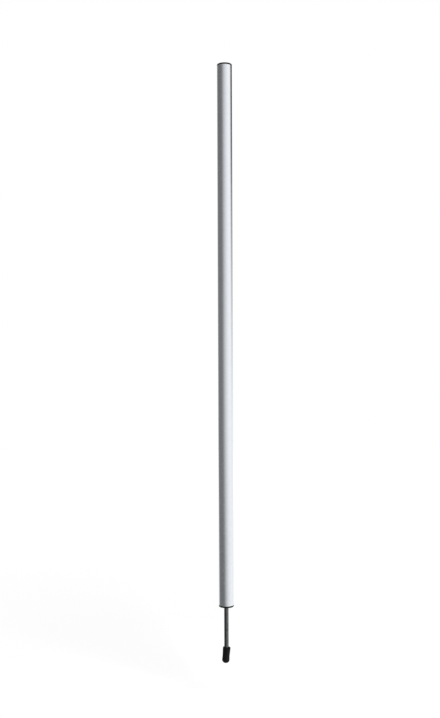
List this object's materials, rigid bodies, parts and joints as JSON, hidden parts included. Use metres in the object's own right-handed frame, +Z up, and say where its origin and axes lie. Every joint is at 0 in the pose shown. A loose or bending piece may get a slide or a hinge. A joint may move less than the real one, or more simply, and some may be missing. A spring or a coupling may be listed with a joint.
{
  "type": "slalom pole",
  "caption": "Straight round marker pole with a plug in each end, a pointed steel ground spike and a rubber cover that pulls off the spike.",
  "frame": {"origin": "on the pole's axis at the ground line, the flat underside of the lower plug's head", "axes": "+Z up along the pole, from the spike to the upper plug; -Y is the side that the picture shows"},
  "size_m": [0.025, 0.025, 1.0004],
  "materials": {
    "tube_aluminium": "satin clear anodised",
    "plug_plastic": "moulded, smooth",
    "spike_steel": "dark drawn bar",
    "fastener_steel": "bright zinc plated",
    "cover_rubber": "moulded, matte"
  },
  "bodies": {
    "pole": {"pole_tube": "tube_aluminium", "top_plug": "plug_plastic", "bottom_plug": "plug_plastic", "ground_spike": "spike_steel", "flat_washer": "fastener_steel", "lock_washer": "fastener_steel", "spike_nut": "fastener_steel"},
    "cover": {"tip_cover": "cover_rubber"}
  },
  "joints": [
    {"name": "tip_cover_slide", "type": "slide", "parent": "pole", "child": "cover", "axis": [0, 0, -1], "range_m": [0, 0.035]}
  ]
}
